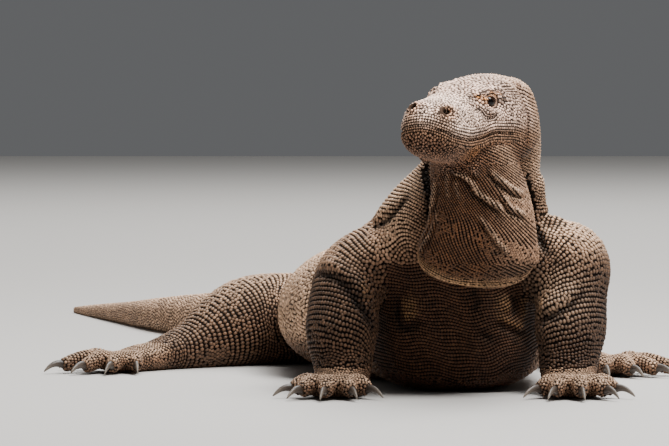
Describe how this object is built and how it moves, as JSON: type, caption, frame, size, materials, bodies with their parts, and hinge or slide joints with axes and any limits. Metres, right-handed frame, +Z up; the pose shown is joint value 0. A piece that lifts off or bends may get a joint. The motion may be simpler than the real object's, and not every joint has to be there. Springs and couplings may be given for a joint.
{
  "type": "komodo dragon",
  "caption": "Large monitor lizard lying on its belly, forequarters raised on its arms, head turned to its right, heavy throat pouch, long tail trailing behind.",
  "frame": {"origin": "middle of the belly's resting face on the floor", "axes": "+Z up, the animal faces -Y, +X is its left side, the tail trails to +Y"},
  "size_m": [0.8994, 2.0209, 0.4019],
  "materials": {
    "head_hide": "small bony scales, greyish brown, dry",
    "body_hide": "rows of bead-like scales, grey-brown, dusty",
    "throat_hide": "fine beaded scales in folds, warm dark brown",
    "tail_hide": "ringed rows of scales, brown",
    "foot_hide": "small bead-like scales, dusty grey-brown",
    "eye": "wet and dark brown, round pupil",
    "claw": "worn horn, grey-beige"
  },
  "bodies": {
    "root": {"head": "head_hide", "lower_jaw": "head_hide", "nape": "body_hide", "throat_pouch": "throat_hide", "neck": "body_hide", "chest": "body_hide", "belly": "body_hide", "hips": "body_hide", "tail_1": "tail_hide", "tail_2": "tail_hide", "tail_3": "tail_hide", "tail_4": "tail_hide", "tail_5": "tail_hide", "upper_arm_left": "body_hide", "forearm_left": "body_hide", "hand_left": "foot_hide", "upper_arm_right": "body_hide", "forearm_right": "body_hide", "hand_right": "foot_hide", "thigh_left": "body_hide", "shank_left": "body_hide", "foot_left": "foot_hide", "thigh_right": "body_hide", "shank_right": "body_hide", "foot_right": "foot_hide", "eye_left": "eye", "eye_right": "eye", "claw_hand_left_1": "claw", "claw_hand_left_2": "claw", "claw_hand_left_3": "claw", "claw_hand_left_4": "claw", "claw_hand_left_5": "claw", "claw_hand_right_1": "claw", "claw_hand_right_2": "claw", "claw_hand_right_3": "claw", "claw_hand_right_4": "claw", "claw_hand_right_5": "claw", "claw_foot_left_1": "claw", "claw_foot_left_2": "claw", "claw_foot_left_3": "claw", "claw_foot_left_4": "claw", "claw_foot_left_5": "claw", "claw_foot_right_1": "claw", "claw_foot_right_2": "claw", "claw_foot_right_3": "claw", "claw_foot_right_4": "claw", "claw_foot_right_5": "claw"}
  },
  "joints": []
}
